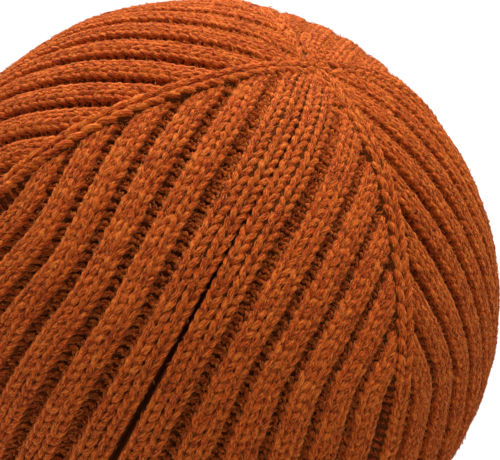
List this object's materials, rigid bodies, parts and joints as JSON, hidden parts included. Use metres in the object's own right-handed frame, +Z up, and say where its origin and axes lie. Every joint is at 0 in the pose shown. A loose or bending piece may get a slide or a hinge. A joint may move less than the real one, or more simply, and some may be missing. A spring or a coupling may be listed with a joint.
{
  "type": "beret",
  "caption": "Pull-on cap of chunky rib knit with a round four-gore crown, raised fashioning lines, a linked back seam and a turned headband.",
  "frame": {"origin": "centre of the mouth, on the plane that the turned hem rests on", "axes": "+Z up the cap's axis to the crown, +Y to the wearer's front, the linked seam at the back on -Y"},
  "size_m": [0.2, 0.2, 0.1813],
  "materials": {
    "rib_knit": "matte wool-blend rib knit, rust",
    "line_knit": "matte wool-blend paired wales, rust",
    "linking_yarn": "matte twisted yarn, dark rust"
  },
  "bodies": {
    "root": {"gore_back_left": "rib_knit", "gore_back_right": "rib_knit", "gore_right": "rib_knit", "gore_front": "rib_knit", "gore_left": "rib_knit", "band_outer": "rib_knit", "hem_fold": "rib_knit", "band_inner": "rib_knit", "seam_selvedge": "rib_knit", "line_back_right": "line_knit", "line_front_right": "line_knit", "line_front_left": "line_knit", "line_back_left": "line_knit", "tip_rosette": "line_knit", "draw_thread": "linking_yarn", "draw_knot": "linking_yarn", "seam_linking": "linking_yarn", "hem_linking": "linking_yarn"}
  },
  "joints": []
}
